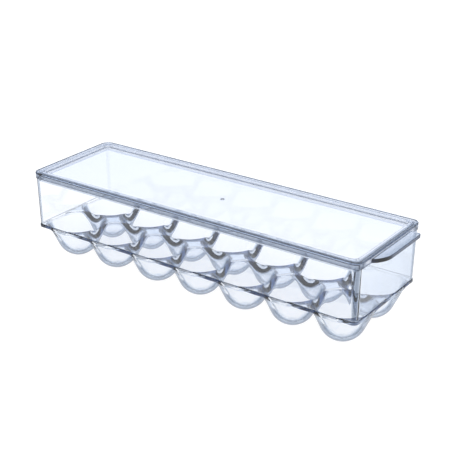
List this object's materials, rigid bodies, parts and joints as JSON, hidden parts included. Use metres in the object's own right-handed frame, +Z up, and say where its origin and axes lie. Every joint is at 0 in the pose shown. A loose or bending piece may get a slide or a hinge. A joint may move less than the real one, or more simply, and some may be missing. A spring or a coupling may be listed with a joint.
{
  "type": "refrigerator egg holder",
  "caption": "Clear plastic egg tray for a refrigerator: two rows of round cups under a straight-sided wall, with a lift-off lid that has a pull tab at one end.",
  "frame": {"origin": "the middle of the whole object's footprint, tab included, on the surface the cups stand on", "axes": "+X along the rows of cups, towards the lid's pull tab; +Y across the rows, towards the square end of the tab; +Z up"},
  "size_m": [0.362, 0.1076, 0.0867],
  "materials": {
    "tray_plastic": "clear, polished, faintly blue",
    "lid_plastic": "clear, polished, faintly blue"
  },
  "bodies": {
    "tray": {"egg_cup_front_1": "tray_plastic", "egg_cup_front_2": "tray_plastic", "egg_cup_front_3": "tray_plastic", "egg_cup_front_4": "tray_plastic", "egg_cup_front_5": "tray_plastic", "egg_cup_front_6": "tray_plastic", "egg_cup_front_7": "tray_plastic", "egg_cup_back_1": "tray_plastic", "egg_cup_back_2": "tray_plastic", "egg_cup_back_3": "tray_plastic", "egg_cup_back_4": "tray_plastic", "egg_cup_back_5": "tray_plastic", "egg_cup_back_6": "tray_plastic", "egg_cup_back_7": "tray_plastic", "tray_wall": "tray_plastic"},
    "lid": {"lid": "lid_plastic"}
  },
  "joints": [
    {"name": "lid_lift", "type": "slide", "parent": "tray", "child": "lid", "axis": [0, 0, 1], "range_m": [0, 0.08]}
  ]
}
